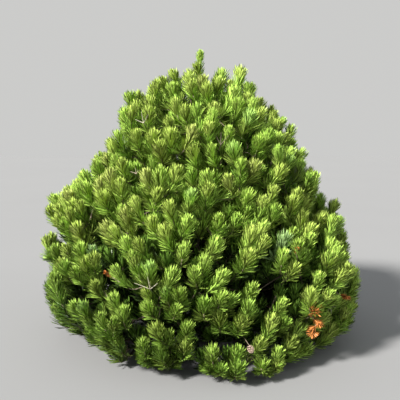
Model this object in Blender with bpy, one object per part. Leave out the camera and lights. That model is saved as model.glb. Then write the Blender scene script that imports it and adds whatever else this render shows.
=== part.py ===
# Bosnian pine grown as a broad cone, clothed to the ground: a trunk with a root
# flare, whorls of boughs on it, and a mass of upright brushes of needles at the
# end of each bough. Metres, +Z up, origin at the trunk's flat cut on the ground,
# front towards -Y.
import math
import random

import bmesh
import bpy
import numpy as np
from mathutils import Vector
from mathutils.bvhtree import BVHTree

# Driving sizes of the whole plant
PLANT_HEIGHT = 1.95
CROWN_RADIUS = 1.09
SEED = 7

# The crown's outline, from the skirt to the top of the dome: shares of the crown
# radius and of the plant height. The leader's brush stands out above it.
CROWN_OUTLINE = [
    (0.86, 0.010), (0.94, 0.035), (0.985, 0.090), (1.00, 0.170), (1.00, 0.270),
    (0.985, 0.370), (0.93, 0.455), (0.80, 0.545), (0.705, 0.640), (0.585, 0.745),
    (0.50, 0.825), (0.40, 0.885), (0.29, 0.925), (0.12, 0.948), (0.00, 0.952),
]
OUTLINE_STEPS = 400
NORMAL_REACH = 0.04

# Where the crown stands out further than that, or less far: size as a share of the
# radius, height, depth in height, azimuth. Low lumps run round it as well.
BULGES = [
    (0.08, 1.00, 0.16, 180.0), (-0.14, 0.99, 0.13, 0.0), (0.05, 1.35, 0.16, 0.0),
    (-0.06, 1.42, 0.16, 180.0), (-0.06, 0.70, 0.12, 180.0),
    (0.10, 0.00, 0.20, -70.0), (-0.23, 0.02, 0.18, 187.0),
    (-0.18, 1.69, 0.07, 0.0), (0.05, 1.64, 0.08, 180.0),
]
LUMP_SIZE = 0.022
LUMP_WAVES = [(4, 8.0), (7, -11.0)]

# Trunk
TRUNK_TOP = 1.60
TRUNK_FOOT_RADIUS = 0.056
TRUNK_TIP_RADIUS = 0.010
FLARE_WIDTH = 0.030
FLARE_HEIGHT = 0.041
FLARE_LOBES = 5
FLARE_LOBE_SHARE = 0.25
TAPER_POWER = 0.9
TRUNK_SIDES = 10
TRUNK_RINGS = 11
TRUNK_RING_POWER = 1.35
TRUNK_SWAY = (0.016, 0.0112)
SWAY_TURNS = (5.0, 3.6)
RAY_REACH = 0.5
RIM_STEPS = 6
RIM_SHARES = (0.0, 0.25, 0.5, 0.75, 1.0)

# Whorls of boughs, from the ground up: name, height on the trunk, number of
# boughs, azimuth of the first, and the radius and height of the masses' centres
WHORLS = [
    ("skirt", 0.085, 6, -68.0, 0.80, 0.20),
    ("low", 0.300, 6, -38.0, 0.80, 0.56),
    ("middle", 0.560, 5, -92.0, 0.64, 0.92),
    ("high", 0.850, 4, -50.0, 0.45, 1.24),
    ("top", 1.140, 3, -95.0, 0.28, 1.51),
]
LEADER_CENTRE = (0.0, 0.0, 1.72)
LEADER_TIP_WIDTH = 0.60
LEADER_TWIST = 0.4
LEADER_STEM_SHARE = 0.8
WHORL_STAGGER = 0.022
AZIMUTH_JITTER = 8.0
CENTRE_JITTER = (0.05, 0.05)
BOUGH_SHARE = 0.60
BOUGH_SIDES = 5
BOUGH_RINGS = 5
BOUGH_RADIUS = (0.021, 0.009)
BOUGH_END_SHARE = 0.52
BOUGH_SLIMMING = 0.55
BOUGH_TAPER_POWER = 0.8
BOUGH_HANDLES = (0.4, 0.35)
BOUGH_FIRST_RISE = 0.10
SEAT_GAP = 0.0003

# Foliage: each brush of needles is a slim core that a ring of needles stands out of,
# steep ones and spread ones by turns
BRUSH_LENGTH = 0.220
BRUSH_WIDTH = 0.155
BRUSH_FITS = (1.0, 0.78, 0.58)
BRUSH_SPACING = 0.160
BRUSH_SIZES = (0.92, 1.08)
BRUSH_NEEDLES = 5
COLLAR = (0.27, 0.64)
COLLAR_MIDDLE = 0.72
SPREAD_NEEDLE = (0.50, 0.86)
STEEP_NEEDLE = (0.24, 1.00)
ROOT_STEPS = (0.0, 0.03, 0.06, 0.09, 0.12)
ROOT_DEPTH = 0.012
NEEDLE_ROOM = 0.006
JOINT_HEIGHT = 0.25
ELEVATION = [(0.05, 12.0), (0.25, 46.0), (0.9, 62.0), (1.4, 73.0), (1.9, 87.0)]
ELEVATION_JITTER = 8.0
FAN_SHARE = 0.24
CANDIDATES = 9000
VALLEY_DEPTH = 0.045
VALLEY_WIDTH = 0.10
VALLEY_POWER = 1.5
TIP_DIP = 0.02
STEM_RADIUS = (0.009, 0.007)
STEM_SIDES = 4
STEM_OVERSHOOT = 0.012
STEM_BOW = 0.02
TWIG_RADIUS = (0.0045, 0.0035)
TWIG_SIDES = 3
PATH_WEIGHT = 0.45
BRANCH_TRIES = 4
CORE_DEPTHS = (0.140, 0.250)
CORE_STEPS = (0.006, -0.014)
LIMB_SAMPLE = 0.01
CORE_MARGIN = 0.014
CORE_CORNERS = 20
CORE_FEWEST = 8
CORE_TRIES = 8
CELL_MARGIN = 0.0025
LIMB_CLEARANCE = 0.004
GROUND_CLEARANCE = 0.006
FLAT = 1e-3
TINY = 1e-12

BARK_COLOUR = (0.16, 0.125, 0.10, 1.0)
NEEDLE_COLOUR = (0.115, 0.225, 0.035, 1.0)


def clear_scene():
    for obj in list(bpy.data.objects):
        bpy.data.objects.remove(obj)


def plain_material(name, colour, roughness):
    material = bpy.data.materials.new(name)
    material.use_nodes = True
    shader = material.node_tree.nodes["Principled BSDF"]
    shader.inputs["Base Color"].default_value = colour
    shader.inputs["Roughness"].default_value = roughness
    shader.inputs["Metallic"].default_value = 0.0
    return material


def new_object(name, points, faces, material, collection=None):
    mesh = bpy.data.meshes.new(name)
    mesh.from_pydata([tuple(p) for p in points], [], faces)
    mesh.materials.append(material)
    obj = bpy.data.objects.new(name, mesh)
    (collection or bpy.context.scene.collection).objects.link(obj)
    return obj


def horizontal(azimuth):
    return Vector((math.cos(azimuth), math.sin(azimuth), 0.0))


def across(direction, hint=None):
    """Two unit vectors that make a right-handed set with direction, the first as
    near to the hint as it can be."""
    if hint is None:
        hint = Vector((0.0, 0.0, 1.0)) if abs(direction.z) < 0.8 else Vector((1.0, 0.0, 0.0))
    side = (hint - direction * hint.dot(direction)).normalized()
    return side, direction.cross(side)


def tube(rings):
    """Points and faces of a closed tube through rings of equal point counts."""
    sides = len(rings[0])
    points = [point for ring in rings for point in ring]
    faces = [tuple(reversed(range(sides)))]
    for k in range(len(rings) - 1):
        low, high = k * sides, (k + 1) * sides
        for i in range(sides):
            j = (i + 1) % sides
            faces.append((low + i, low + j, high + j, high + i))
    last = (len(rings) - 1) * sides
    faces.append(tuple(range(last, last + sides)))
    return points, faces


def ring(centre, direction, radius, sides, hint=None):
    u, v = across(direction, hint)
    angles = [2 * math.pi * i / sides for i in range(sides)]
    return [centre + radius * (math.cos(a) * u + math.sin(a) * v) for a in angles]


# Trunk


def trunk_centre(height):
    """The trunk leans and sways a little, and stands on the origin."""
    share = height / TRUNK_TOP
    return Vector((
        TRUNK_SWAY[0] * math.sin(SWAY_TURNS[0] * share),
        TRUNK_SWAY[1] * (1 - math.cos(SWAY_TURNS[1] * share)),
        height,
    ))


def trunk_radius(height, azimuth=0.0):
    share = height / TRUNK_TOP
    taper = TRUNK_FOOT_RADIUS + (TRUNK_TIP_RADIUS - TRUNK_FOOT_RADIUS) * share ** TAPER_POWER
    flare = FLARE_WIDTH * math.exp(-height / FLARE_HEIGHT)
    return taper + flare * (1 - FLARE_LOBE_SHARE * (1 - math.cos(FLARE_LOBES * azimuth)))


def trunk_rings():
    shares = [(k / (TRUNK_RINGS - 1)) ** TRUNK_RING_POWER for k in range(TRUNK_RINGS)]
    heights = [TRUNK_TOP * share for share in shares]
    angles = [2 * math.pi * i / TRUNK_SIDES for i in range(TRUNK_SIDES)]
    return [
        [trunk_centre(z) + trunk_radius(z, a) * horizontal(a) for a in angles]
        for z in heights
    ]


def trunk_surface(tree, point, out):
    """Where the trunk's surface lies under a point, and its normal, level with out."""
    place, normal, _, _ = tree.ray_cast(point + out * RAY_REACH, -out)
    return place, (out * normal.dot(out) + Vector((0, 0, normal.z))).normalized()


def room_above(tree, polygon, out):
    """The least room along out between a flat polygon and the trunk."""
    middle = sum(polygon, Vector()) / len(polygon)
    room = 1.0
    for a, b in zip(polygon, polygon[1:] + polygon[:1]):
        for k in range(RIM_STEPS):
            rim = a.lerp(b, k / RIM_STEPS)
            for share in RIM_SHARES:
                point = middle.lerp(rim, share)
                place = tree.ray_cast(point + out * RAY_REACH, -out)[0]
                if place:
                    room = min(room, (point - place).dot(out))
    return room


# Boughs


def whorl_plan():
    """The boughs in order: name, azimuth, height on the trunk and mass centre."""
    plan = []
    dice = random.Random(SEED)
    for tier, height, count, first, radius, centre_height in WHORLS:
        for k in range(count):
            azimuth = first + 360.0 * k / count + dice.uniform(-1, 1) * AZIMUTH_JITTER
            azimuth = math.radians(azimuth)
            start = height + WHORL_STAGGER * (-1, 1)[k % 2] * dice.uniform(0.5, 1.0)
            centre = horizontal(azimuth) * radius * (1 + dice.uniform(-1, 1) * CENTRE_JITTER[0])
            centre.z = centre_height + dice.uniform(-1, 1) * CENTRE_JITTER[1]
            plan.append((f"{tier}_{k + 1}", azimuth, start, centre))
    return plan


def bough_line(tree, azimuth, start, centre):
    """Points along a bough, from the trunk's surface: it sags a little, then rises."""
    out = horizontal(azimuth)
    axis = trunk_centre(start)
    foot, facing = trunk_surface(tree, axis, out)
    end = out * Vector((centre.x, centre.y, 0.0)).length * BOUGH_SHARE
    end.z = start + (centre.z - start) * BOUGH_END_SHARE
    near, far = (share * (end - foot).length for share in BOUGH_HANDLES)
    first = foot + out * near
    first.z += BOUGH_FIRST_RISE * (end.z - foot.z)
    second = end - (centre - end).normalized() * far
    line = []
    for k in range(BOUGH_RINGS):
        t = k / (BOUGH_RINGS - 1)
        line.append(
            (1 - t) ** 3 * foot + 3 * t * (1 - t) ** 2 * first
            + 3 * t * t * (1 - t) * second + t ** 3 * end
        )
    return line, facing


def bough_radii(start):
    """Foot and tip radius of a bough, slimmer the higher it leaves the trunk."""
    slim = 1.0 - BOUGH_SLIMMING * start / TRUNK_TOP
    return BOUGH_RADIUS[0] * slim, BOUGH_RADIUS[1] * slim


def bough_rings(line, out, facing, radii):
    """Rings of a bough. The foot's lies flat against the trunk."""
    rings = []
    side = Vector((-out.y, out.x, 0.0))
    for k, point in enumerate(line):
        ahead = line[min(k + 1, len(line) - 1)]
        behind = line[max(k - 1, 0)]
        direction = (ahead - behind).normalized()
        share = k / (len(line) - 1)
        radius = radii[0] + (radii[1] - radii[0]) * share ** BOUGH_TAPER_POWER
        points = ring(point, direction, radius, BOUGH_SIDES, side)
        if k == 0:
            slope = direction / direction.dot(facing)
            points = [p - slope * (p - point).dot(facing) for p in points]
        rings.append(points)
    return rings


# The crown's surface and the space of each mass


def outline_points():
    """The crown's outline with its length from the skirt, as arrays."""
    outline = np.array(CROWN_OUTLINE) * (CROWN_RADIUS, PLANT_HEIGHT)
    steps = np.hypot(*np.diff(outline, axis=0).T)
    return outline, np.concatenate([[0.0], np.cumsum(steps)])


def side_reach(azimuth, height):
    """How far the crown reaches there, as a share of its plain outline."""
    reach = 1.0
    for size, middle, depth, turn in BULGES:
        lobe = math.exp(-(((height - middle) / depth) ** 2))
        reach += size * lobe * max(math.cos(azimuth - math.radians(turn)), 0.0) ** 2
    for count, rise in LUMP_WAVES:
        reach += LUMP_SIZE * math.sin(count * azimuth + rise * height)
    return reach


def crown_candidates(dice):
    """Points spread evenly over the crown's surface, in a seeded order, each with
    the outward direction of the surface there."""
    outline, along = outline_points()
    fine = np.linspace(0.0, along[-1], OUTLINE_STEPS)
    radius = np.interp(fine, along, outline[:, 0])
    height = np.interp(fine, along, outline[:, 1])
    area = np.concatenate([[0.0], np.cumsum((radius[1:] + radius[:-1]) / 2)])
    share = (np.arange(CANDIDATES) + 0.5) / CANDIDATES
    place = np.interp(share * area[-1], area, fine)
    golden = math.pi * (3 - math.sqrt(5))
    found = []
    for k in range(CANDIDATES):
        azimuth = k * golden
        r, z = np.interp(place[k], fine, radius), np.interp(place[k], fine, height)
        r *= side_reach(azimuth, z)
        near = np.clip(place[k] + np.array([-NORMAL_REACH, NORMAL_REACH]), 0.0, along[-1])
        dr, dz = (float(np.diff(np.interp(near, fine, row))[0]) for row in (radius, height))
        normal = (horizontal(azimuth) * dz + Vector((0, 0, -dr))).normalized()
        found.append((horizontal(azimuth) * float(r) + Vector((0, 0, float(z))), normal))
    dice.shuffle(found)
    return found


class Space:
    """The space of one mass: all that lies nearer to its centre than to another."""

    def __init__(self, centres, own):
        others = np.delete(centres, own, axis=0)
        apart = centres[own] - others
        self.normals = apart / np.linalg.norm(apart, axis=1)[:, None]
        self.offsets = ((centres[own] + others) / 2 * self.normals).sum(axis=1)

    def depth(self, points):
        """How far inside the space the outermost of these points lies."""
        points = np.atleast_2d(np.array(points, float))
        return float((points @ self.normals.T - self.offsets).min())


def segment_gap(a, b, c, d):
    """The least distance between the segments ab and cd."""
    u, v, w = b - a, d - c, a - c
    uu, uv, vv, uw, vw = u.dot(u), u.dot(v), v.dot(v), u.dot(w), v.dot(w)
    scale = uu * vv - uv * uv
    s = min(max((uv * vw - vv * uw) / scale, 0.0), 1.0) if scale > TINY else 0.0
    t = min(max((uv * s + vw) / vv, 0.0), 1.0) if vv > TINY else 0.0
    s = min(max((uv * t - uw) / uu, 0.0), 1.0) if uu > TINY else 0.0
    return ((a + u * s) - (c + v * t)).length


def clear_of(limbs, a, b, thick):
    """True if a round bar from a to b is clear of every limb."""
    return all(
        segment_gap(a, b, c, d) > radius + thick + LIMB_CLEARANCE
        for c, d, radius, _ in limbs
    )


def others_limbs(limbs, own):
    """The limbs that a mass keeps clear of: all but its own stem."""
    return [limb for limb in limbs if limb[3] != own]


# Brushes of needles


class Brush:
    """One brush: its tip, the way it points, and its closed mesh. Its root reaches
    further back than its length by as much as it needs to sink into a core."""

    def __init__(self, tip, direction, length, width, twist, core=None):
        self.tip, self.direction, self.width = tip, direction, width
        foot = tip - direction * length
        self.heart = foot.lerp(tip, COLLAR[1])
        self.middle = tip.lerp(self.heart, 0.5)
        roots = [foot - direction * step for step in ROOT_STEPS]
        loose = foot.lerp(self.heart, JOINT_HEIGHT)
        self.root = next((p for p in roots if depth_in(core, p) > ROOT_DEPTH), foot)
        self.joint = self.root if depth_in(core, self.root) > ROOT_DEPTH else loose
        u, v = across(direction)

        def around(turn, radius, share):
            angle = twist + 2 * math.pi * turn / BRUSH_NEEDLES
            spoke = math.cos(angle) * u + math.sin(angle) * v
            return foot + direction * length * share + spoke * radius * width

        turns = range(BRUSH_NEEDLES)
        collar = [around(i, *COLLAR) for i in turns]
        self.needles = [around(i + 0.5, *(STEEP_NEEDLE, SPREAD_NEEDLE)[i % 2]) for i in turns]
        self.points = [self.root, foot.lerp(tip, COLLAR_MIDDLE)]
        self.points += collar + self.needles
        self.faces = []
        for i in turns:
            g, h, needle = 2 + i, 2 + (i + 1) % BRUSH_NEEDLES, 2 + BRUSH_NEEDLES + i
            self.faces += [(0, h, g), (1, g, needle), (g, h, needle), (h, 1, needle)]

    def bars(self):
        """The lines of its core and needles, with half their thickness."""
        needles = [(self.heart, p, NEEDLE_ROOM) for p in self.needles]
        return [(self.root, self.heart, COLLAR[0] * self.width), *needles]


def brush_choices(point, normal, centre, space, core, dice):
    """Brushes of falling width whose tip is at or just under a point of the crown."""
    edge = space.depth([point])
    dip = VALLEY_DEPTH * (1 - min(max(edge / VALLEY_WIDTH, 0.0), 1.0)) ** VALLEY_POWER
    tip = point - normal * (dip + dice.uniform(0.0, TIP_DIP))
    elevation = float(np.interp(point.z, *np.transpose(ELEVATION)))
    elevation = math.radians(elevation + dice.uniform(-1, 1) * ELEVATION_JITTER)
    out = Vector((normal.x, normal.y, 0.0))
    if out.length < FLAT:
        out = horizontal(dice.uniform(0, 2 * math.pi))
    direction = out.normalized() * math.cos(elevation)
    direction.z = math.sin(elevation)
    direction = direction.lerp((tip - centre).normalized(), FAN_SHARE).normalized()
    size = dice.uniform(*BRUSH_SIZES)
    turn = dice.uniform(0, 2 * math.pi)
    for fit in BRUSH_FITS:
        length = BRUSH_LENGTH * size * (0.5 + 0.5 * fit)
        yield Brush(tip, direction, length, BRUSH_WIDTH * size * fit, turn, core)


def owner(rows, point):
    return int(np.argmin(np.linalg.norm(rows - np.array(point), axis=1)))


def place_brushes(candidates, spaces, centres, rows, cores, limbs):
    """Takes the candidates in turn. A brush is kept if it stays in the space of
    its mass, clear of the limbs and far enough from those already there."""
    dice = random.Random(SEED + 1)
    placed = [[] for _ in centres]
    top = Vector((LEADER_CENTRE[0], LEADER_CENTRE[1], PLANT_HEIGHT))
    width = BRUSH_WIDTH * LEADER_TIP_WIDTH
    placed[-1].append(Brush(top, Vector((0, 0, 1)), BRUSH_LENGTH, width, LEADER_TWIST, cores[-1]))
    middles = [placed[-1][0].middle]
    for point, normal in candidates:
        own = owner(rows, point)
        near = others_limbs(limbs, own)
        choices = brush_choices(point, normal, centres[own], spaces[own], cores[own], dice)
        for brush in choices:
            if min(p.z for p in brush.points) < GROUND_CLEARANCE:
                continue
            if spaces[own].depth(brush.points) < CELL_MARGIN:
                continue
            apart = BRUSH_SPACING * (0.55 + 0.45 * brush.width / BRUSH_WIDTH)
            if any((brush.middle - other).length < apart for other in middles):
                continue
            if all(clear_of(near, a, b, thick) for a, b, thick in brush.bars()):
                placed[own].append(brush)
                middles.append(brush.middle)
                break
    return placed


# A mass: a stem, twigs that branch to the brushes, and a core inside


def branch(stem, brushes, limbs):
    """Joins each brush to the stem or to a nearer brush, so that the ways out stay
    short. Returns the twigs as (from, to) and the brushes that could be joined."""
    nodes = [(point, (point - stem[0]).length) for point in stem]
    twigs, joined = [], []
    for brush in sorted(brushes, key=lambda b: (b.joint - stem[0]).length):
        end = brush.joint
        ways = sorted(nodes, key=lambda n: (n[0] - end).length + PATH_WEIGHT * n[1])
        for start, path in ways[:BRANCH_TRIES]:
            if clear_of(limbs, start, end, TWIG_RADIUS[0]):
                twigs.append((start, end))
                nodes.append((end, path + (end - start).length))
                joined.append(brush)
                break
    return twigs, joined


def twig_mesh(start, end, radii=TWIG_RADIUS, sides=TWIG_SIDES):
    direction = (end - start).normalized()
    return tube([ring(start, direction, radii[0], sides), ring(end, direction, radii[1], sides)])


def hull_mesh(points):
    """Points and faces of the convex hull."""
    shape = bmesh.new()
    for point in points:
        shape.verts.new(point)
    made = bmesh.ops.convex_hull(shape, input=shape.verts)
    spare = {e for key in ("geom_interior", "geom_unused") for e in made[key]}
    spare = [e for e in spare if isinstance(e, bmesh.types.BMVert)]
    bmesh.ops.delete(shape, geom=spare, context="VERTS")
    bmesh.ops.recalc_face_normals(shape, faces=shape.faces)
    shape.verts.index_update()
    result = (
        [v.co.copy() for v in shape.verts],
        [tuple(v.index for v in f.verts) for f in shape.faces],
        [(f.normal.copy(), f.normal.dot(f.verts[0].co)) for f in shape.faces],
    )
    shape.free()
    return result


def sphere_directions(count):
    golden = math.pi * (3 - math.sqrt(5))
    heights = [1 - (2 * k + 1) / count for k in range(count)]
    return [
        horizontal(k * golden) * math.sqrt(1 - z * z) + Vector((0, 0, z))
        for k, z in enumerate(heights)
    ]


def core_mesh(surface, space, limbs):
    """The smaller core of a dense mass: it follows the crown's surface from inside,
    well under the tips, and is drawn in until it is clear of the limbs."""
    samples = []
    for c, d, r, _ in limbs:
        count = int((d - c).length / LIMB_SAMPLE) + 2
        samples += [(c.lerp(d, t / count), r) for t in range(count + 1)]
    spots = np.array([tuple(p) for p, _ in samples])
    sizes = np.array([r for _, r in samples]) + LIMB_CLEARANCE
    for attempt in range(CORE_TRIES):
        depths = [depth + step * attempt for depth, step in zip(CORE_DEPTHS, CORE_STEPS)]
        body = [p - outwards * depth for p, outwards in surface for depth in depths]
        body = [p for p in body if space.depth([p]) > CORE_MARGIN and p.z > CORE_MARGIN]
        if len(body) < CORE_FEWEST:
            continue
        cloud = np.array([tuple(p) for p in body])
        ways = np.array([tuple(d) for d in sphere_directions(CORE_CORNERS)])
        corners = sorted(set((cloud @ ways.T).argmax(axis=0).tolist()))
        points, faces, planes = hull_mesh([body[k] for k in corners])
        normals = np.array([tuple(normal) for normal, _ in planes])
        offsets = np.array([offset for _, offset in planes])
        if ((spots @ normals.T - offsets).max(axis=1) > sizes).all():
            return points, faces, planes
    return [], [], []


def depth_in(core, point):
    """How far inside a core a point lies."""
    return min((offset - normal.dot(point) for normal, offset in core[2]), default=-1.0)


def is_closed(mesh):
    shape = bmesh.new()
    shape.from_mesh(mesh)
    closed = len(shape.faces) > 0 and all(e.is_manifold for e in shape.edges)
    shape.free()
    return closed


def keep_outer_shell(mesh):
    """Keeps the largest closed shell: it fills sealed hollows and drops scraps."""
    shape = bmesh.new()
    shape.from_mesh(mesh)
    bmesh.ops.triangulate(shape, faces=shape.faces)
    left, shells = set(shape.faces), []
    while left:
        shell, reach = set(), [left.pop()]
        while reach:
            face = reach.pop()
            shell.add(face)
            for edge in face.edges:
                for other in edge.link_faces:
                    if other in left:
                        left.remove(other)
                        reach.append(other)
        shells.append(shell)
    largest = max(shells, key=lambda s: sum(f.calc_area() for f in s))
    spare = [f for f in shape.faces if f not in largest]
    bmesh.ops.delete(shape, geom=spare, context="FACES")
    loose = [v for v in shape.verts if not v.link_faces]
    bmesh.ops.delete(shape, geom=loose, context="VERTS")
    shape.to_mesh(mesh)
    shape.free()


def fuse(name, base, others, material):
    """One closed mesh from the base and the other shapes, by one Boolean union."""
    for solver in ("EXACT", "MANIFOLD"):
        helpers = bpy.data.collections.new(name + "_shapes")
        bpy.context.scene.collection.children.link(helpers)
        obj = new_object(name, *base, material)
        for k, (points, faces) in enumerate(others):
            new_object(f"{name}_shape_{k}", points, faces, material, helpers)
        union = obj.modifiers.new("union", "BOOLEAN")
        union.operation = "UNION"
        union.operand_type = "COLLECTION"
        union.collection = helpers
        union.solver = solver
        graph = bpy.context.evaluated_depsgraph_get()
        fused = bpy.data.meshes.new_from_object(obj.evaluated_get(graph))
        obj.modifiers.remove(union)
        for helper in list(helpers.objects):
            bpy.data.objects.remove(helper)
        bpy.data.collections.remove(helpers)
        if is_closed(fused):
            break
        if solver == "EXACT":
            bpy.data.objects.remove(obj)
    obj.data = fused
    keep_outer_shell(obj.data)
    return obj


def stem_line(tip, direction, centre):
    """The way from just clear of a limb's tip to the middle of its mass."""
    foot = tip + direction * SEAT_GAP
    return [foot, foot.lerp(centre, 0.5) + direction * STEM_BOW, centre]


def make_mass(name, stem, direction, radius, brushes, limbs, core, material):
    """The foliage at a limb's tip, as one closed mesh."""
    twigs, joined = branch(stem[1:], brushes, limbs)
    side = across(direction)[0]
    rings = [ring(stem[0], direction, radius, STEM_SIDES, side)]
    for start, end, thick, past in zip(stem, stem[1:], STEM_RADIUS, (0.0, STEM_OVERSHOOT)):
        way = (end - start).normalized()
        rings.append(ring(end + way * past, way, thick, STEM_SIDES, side))
    shapes = [(b.points, b.faces) for b in joined] + [twig_mesh(a, b) for a, b in twigs]
    if core[0]:
        shapes.append(core[:2])
    return fuse(name, tube(rings), shapes, material)


def build():
    clear_scene()
    bark = plain_material("bark", BARK_COLOUR, 0.85)
    needles = plain_material("needles", NEEDLE_COLOUR, 0.55)

    rings = trunk_rings()
    trunk = new_object("trunk", *tube(rings), bark)
    trunk.data.shade_smooth()
    tree = BVHTree.FromPolygons(*tube(rings))
    heights = [trunk_centre(r[0].z) for r in rings]
    limbs = [(a, b, trunk_radius(a.z), None) for a, b in zip(heights, heights[1:])]

    plan = whorl_plan()
    tips = []
    for name, azimuth, start, centre in plan:
        out = horizontal(azimuth)
        line, facing = bough_line(tree, azimuth, start, centre)
        radii = bough_radii(start)
        loops = bough_rings(line, out, facing, radii)
        shift = out * (SEAT_GAP / facing.dot(out) - room_above(tree, loops[0], out))
        line = [point + shift for point in line]
        loops = [[point + shift for point in loop] for loop in loops]
        bough = new_object("bough_" + name, *tube(loops), bark)
        bough.data.shade_smooth()
        limbs += [(a, b, radii[0], None) for a, b in zip(line, line[1:])]
        tips.append((line[-1], (line[-1] - line[-2]).normalized(), radii[1]))
    tips.append((trunk_centre(TRUNK_TOP), Vector((0, 0, 1)), TRUNK_TIP_RADIUS * LEADER_STEM_SHARE))

    centres = [centre for *_, centre in plan] + [Vector(LEADER_CENTRE)]
    names = [name for name, *_ in plan] + ["leader"]
    stems = [stem_line(tip, way, centre) for (tip, way, _), centre in zip(tips, centres)]
    for k, stem in enumerate(stems):
        limbs += [(a, b, STEM_RADIUS[0], k) for a, b in zip(stem, stem[1:])]
    rows = np.array([tuple(c) for c in centres])
    spaces = [Space(rows, k) for k in range(len(centres))]
    candidates = crown_candidates(random.Random(SEED + 2))
    owned = [[] for _ in centres]
    for point, normal in candidates:
        level = Vector((normal.x, normal.y, max(normal.z, 0.0))).normalized()
        owned[owner(rows, point)].append((point, level))
    near = [others_limbs(limbs, k) for k in range(len(centres))]
    cores = [core_mesh(*row) for row in zip(owned, spaces, near)]
    placed = place_brushes(candidates, spaces, centres, rows, cores, limbs)
    for k, name in enumerate(names):
        base = (stems[k], *tips[k][1:])
        make_mass("foliage_" + name, *base, placed[k], near[k], cores[k], needles)


build()
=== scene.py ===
import math
import random
from collections import namedtuple

import bpy
import numpy as np
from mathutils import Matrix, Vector, noise


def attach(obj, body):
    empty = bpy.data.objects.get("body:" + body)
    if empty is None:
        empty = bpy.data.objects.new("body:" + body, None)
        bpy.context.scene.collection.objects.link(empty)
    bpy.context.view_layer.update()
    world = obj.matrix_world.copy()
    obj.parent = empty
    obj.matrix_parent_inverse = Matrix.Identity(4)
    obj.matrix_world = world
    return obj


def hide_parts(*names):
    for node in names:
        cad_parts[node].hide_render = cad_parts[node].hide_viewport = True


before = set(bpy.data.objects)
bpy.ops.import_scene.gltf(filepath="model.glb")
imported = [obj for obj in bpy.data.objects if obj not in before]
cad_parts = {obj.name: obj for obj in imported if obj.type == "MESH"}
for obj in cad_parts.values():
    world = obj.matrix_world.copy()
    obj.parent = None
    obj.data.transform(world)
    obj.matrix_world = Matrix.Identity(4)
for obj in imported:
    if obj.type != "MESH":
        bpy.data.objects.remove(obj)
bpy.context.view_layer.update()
print("frame loaded:", len(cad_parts), "solids")

goldenTurn = math.pi * (3 - math.sqrt(5))
up = Vector((0, 0, 1))


# Node trees, of materials and of modifiers alike

def maths(operation, swapped=False):
    def run(wire, other):
        first, second = (other, wire) if swapped else (wire, other)
        return wire.graph.node("ShaderNodeMath", {"operation": operation}, {0: first, 1: second})
    return run


class Wire:
    # one output socket, which takes part in plain arithmetic
    def __init__(self, graph, socket):
        self.graph = graph
        self.socket = socket

    __add__ = __radd__ = maths("ADD")
    __sub__ = maths("SUBTRACT")
    __rsub__ = maths("SUBTRACT", swapped=True)
    __mul__ = __rmul__ = maths("MULTIPLY")
    __gt__ = maths("GREATER_THAN")
    __lt__ = maths("LESS_THAN")


class Graph:
    # builds one node tree
    def __init__(self, tree):
        self.tree = tree

    def node(self, kind, settings=None, sockets=None, out=0):
        made = self.tree.nodes.new(kind)
        for name, value in (settings or {}).items():
            setattr(made, name, value)
        for key, value in (sockets or {}).items():
            self.feed(made.inputs[key], value)
        return Wire(self, made.outputs[out]) if len(made.outputs) else None

    def feed(self, socket, value):
        if isinstance(value, Wire):
            self.tree.links.new(value.socket, socket)
        else:
            socket.default_value = value

    def vector(self, **parts):
        return self.node("ShaderNodeCombineXYZ", {}, parts)

    def part(self, vector, axis):
        return self.node("ShaderNodeSeparateXYZ", {}, {0: vector}, out=axis)


class Finish(Graph):
    # a material: its Principled shader, and the Object coordinates its patterns read
    def __init__(self, name, specular=0.5):
        self.material = bpy.data.materials.new(name)
        self.material.use_nodes = True
        super().__init__(self.material.node_tree)
        self.shader = self.tree.nodes["Principled BSDF"]
        self.set("Specular IOR Level", specular)
        self.place = self.node("ShaderNodeTexCoord", out="Object")

    def set(self, socket, value):
        self.feed(self.shader.inputs[socket], value)

    def own(self, name):
        # a value that the mesh carries at each point
        return self.node("ShaderNodeAttribute", {"attribute_name": name}, out="Fac")

    def grain(self, scale, detail=2.0):
        return self.node("ShaderNodeTexNoise", {}, {
            "Vector": self.place, "Scale": scale, "Detail": detail})

    def blend(self, factor, first, second, kind="MIX"):
        settings = {"data_type": "RGBA", "blend_type": kind}
        return self.node("ShaderNodeMix", settings, {0: factor, 6: first, 7: second}, out=2)

    def between(self, factor, colours):
        return self.blend(factor, *(rgb(colour) for colour in colours))

    def bump(self, height, strength, distance):
        return self.node("ShaderNodeBump", {}, {
            "Height": height, "Strength": strength, "Distance": distance})


class LineTree(Graph):
    # a modifier's tree, which turns lines into one plain mesh of one material
    def __init__(self, name, inputs):
        super().__init__(bpy.data.node_groups.new(name, "GeometryNodeTree"))
        sockets = self.tree.interface
        for key, kind in {"Lines": "Geometry", "Material": "Material", **inputs}.items():
            sockets.new_socket(key, in_out="INPUT", socket_type="NodeSocket" + kind)
        sockets.new_socket("Result", in_out="OUTPUT", socket_type="NodeSocketGeometry")
        source = self.node("NodeGroupInput").socket.node
        self.given = {socket.name: Wire(self, socket) for socket in source.outputs if socket.name}
        self.curves = self.node("GeometryNodeMeshToCurve", {}, {"Mesh": self.given["Lines"]})

    def named(self, key):
        return self.node("GeometryNodeInputNamedAttribute", {"data_type": "FLOAT"}, {"Name": key})

    def end(self, geometry):
        joined = self.node("GeometryNodeRealizeInstances", {}, {"Geometry": geometry})
        painted = self.node("GeometryNodeSetMaterial", {}, {
            "Geometry": joined, "Material": self.given["Material"]})
        self.node("NodeGroupOutput", {}, {0: painted})
        return self.tree


def rgb(colour, gain=1.0):
    return (*(part * gain for part in colour), 1.0)


# Camera, light and floor, at the photo's viewing angle

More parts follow.
